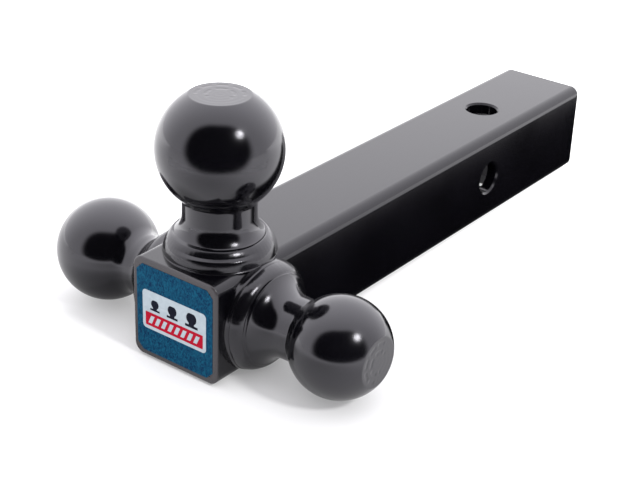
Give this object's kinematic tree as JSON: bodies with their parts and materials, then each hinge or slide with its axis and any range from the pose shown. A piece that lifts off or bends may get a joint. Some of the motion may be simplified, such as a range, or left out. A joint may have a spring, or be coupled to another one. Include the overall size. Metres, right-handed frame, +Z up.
{
  "type": "three-ball trailer hitch mount",
  "caption": "Rigid trailer hitch mount: hollow square receiver shank with crossed pin holes, closed front end, and a ball welded to its top and both sides.",
  "frame": {"origin": "centre of the vertical hitch-pin hole, on the shank's centreline", "axes": "+Y along the shank into the receiver, +Z up towards the largest ball, +X towards the smallest ball; the closed front end faces -Y"},
  "size_m": [0.185, 0.3276, 0.1269],
  "materials": {
    "shank_coat": "gloss black powder coat on steel",
    "ball_coat": "high-gloss black coat on machined steel",
    "weld_coat": "gloss black coat over smooth weld beads",
    "label_blue": "printed vinyl, mottled blue",
    "label_white": "printed vinyl, white",
    "label_red": "printed vinyl, red",
    "label_ink": "printed vinyl, dark ink"
  },
  "bodies": {
    "root": {"shank_tube": "shank_coat", "front_end_plate": "shank_coat", "top_ball": "ball_coat", "left_ball": "ball_coat", "right_ball": "ball_coat", "front_end_weld": "weld_coat", "top_lower_weld": "weld_coat", "top_upper_weld": "weld_coat", "left_lower_weld": "weld_coat", "left_upper_weld": "weld_coat", "right_lower_weld": "weld_coat", "right_upper_weld": "weld_coat", "front_label": "label_blue", "label_badge": "label_white", "label_red_band": "label_red"}
  },
  "joints": []
}
